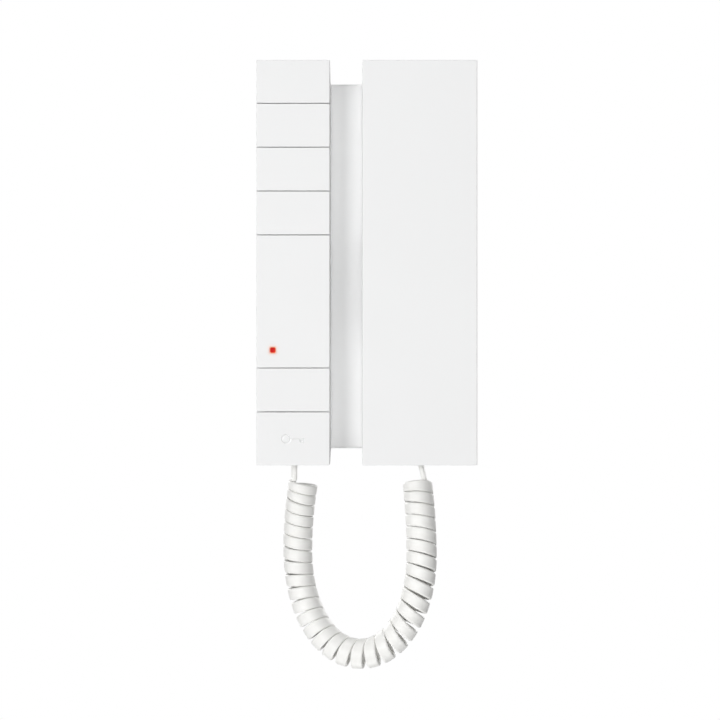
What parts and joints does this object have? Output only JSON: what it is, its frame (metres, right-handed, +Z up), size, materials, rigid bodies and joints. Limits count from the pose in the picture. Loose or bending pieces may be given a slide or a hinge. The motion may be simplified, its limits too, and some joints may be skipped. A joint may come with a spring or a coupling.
{
  "type": "wall phone",
  "caption": "Slim wall phone with a bank of keys, a lift-off handset on a shallow wall base and a flat coiled cord.",
  "frame": {"origin": "middle of the four wall screw holes, on the wall plane", "axes": "+Y into the wall, -Y towards the room, +Z up, +X to the right as seen from the room"},
  "size_m": [0.0872, 0.041, 0.2425],
  "materials": {
    "shell": "satin",
    "tray": "matt",
    "steel": "zinc plated",
    "capsule": "satin",
    "magnet": "nickel plated",
    "lens": "clear red",
    "lamp": "diffusing",
    "board": "solder resist",
    "black_plastic": "matt",
    "terminal": "matt",
    "ribbon": "satin",
    "soft_black": "matt",
    "jack": "satin",
    "plug": "clear",
    "cord": "satin"
  },
  "bodies": {
    "base": {"wall_base": "tray", "front_housing": "shell", "lock_screw": "steel", "slab_body": "shell", "slab_screws": "steel", "lamp_panel": "shell", "lamp_lens": "lens", "lamp_chip": "lamp", "key_board": "board", "key_switches": "black_plastic", "board_screws": "steel", "link_ribbon": "ribbon", "link_headers": "black_plastic", "main_board": "board", "terminal_block": "terminal", "terminal_screws": "steel", "ringer": "black_plastic", "hook_switch": "black_plastic", "keeper_plate": "steel", "base_jack": "jack", "base_plug": "plug", "base_lead": "cord", "curly_cord": "cord", "handset_lead": "cord"},
    "handset": {"handset_front": "shell", "handset_back": "shell", "handset_screws": "steel", "earpiece": "capsule", "earpiece_gasket": "soft_black", "microphone": "capsule", "microphone_boot": "soft_black", "handset_magnets": "magnet", "handset_jack": "jack", "handset_plug": "plug"},
    "key_1": {"key_1": "shell"},
    "key_2": {"key_2": "shell"},
    "key_3": {"key_3": "shell"},
    "key_4": {"key_4": "shell"},
    "key_5": {"key_5": "shell"},
    "door_key": {"door_key": "shell"},
    "hook_plunger": {"hook_plunger": "shell"}
  },
  "joints": [
    {"name": "handset_lift", "type": "slide", "parent": "base", "child": "handset", "axis": [0, -1, 0], "range_m": [0, 0.08], "deforming": ["curly_cord", "handset_lead"]},
    {"name": "key_1_press", "type": "slide", "parent": "base", "child": "key_1", "axis": [0, 1, 0], "range_m": [0, 0.001], "stiffness_N_per_m": 300},
    {"name": "key_2_press", "type": "slide", "parent": "base", "child": "key_2", "axis": [0, 1, 0], "range_m": [0, 0.001], "stiffness_N_per_m": 300},
    {"name": "key_3_press", "type": "slide", "parent": "base", "child": "key_3", "axis": [0, 1, 0], "range_m": [0, 0.001], "stiffness_N_per_m": 300},
    {"name": "key_4_press", "type": "slide", "parent": "base", "child": "key_4", "axis": [0, 1, 0], "range_m": [0, 0.001], "stiffness_N_per_m": 300},
    {"name": "key_5_press", "type": "slide", "parent": "base", "child": "key_5", "axis": [0, 1, 0], "range_m": [0, 0.001], "stiffness_N_per_m": 300},
    {"name": "door_key_press", "type": "slide", "parent": "base", "child": "door_key", "axis": [0, 1, 0], "range_m": [0, 0.001], "stiffness_N_per_m": 300},
    {"name": "hook_release", "type": "slide", "parent": "base", "child": "hook_plunger", "axis": [0, -1, 0], "range_m": [0, 0.0025]}
  ],
  "couplings": [
    {"joint": "hook_release", "follows": "handset_lift", "ratio": 0.03125}
  ]
}
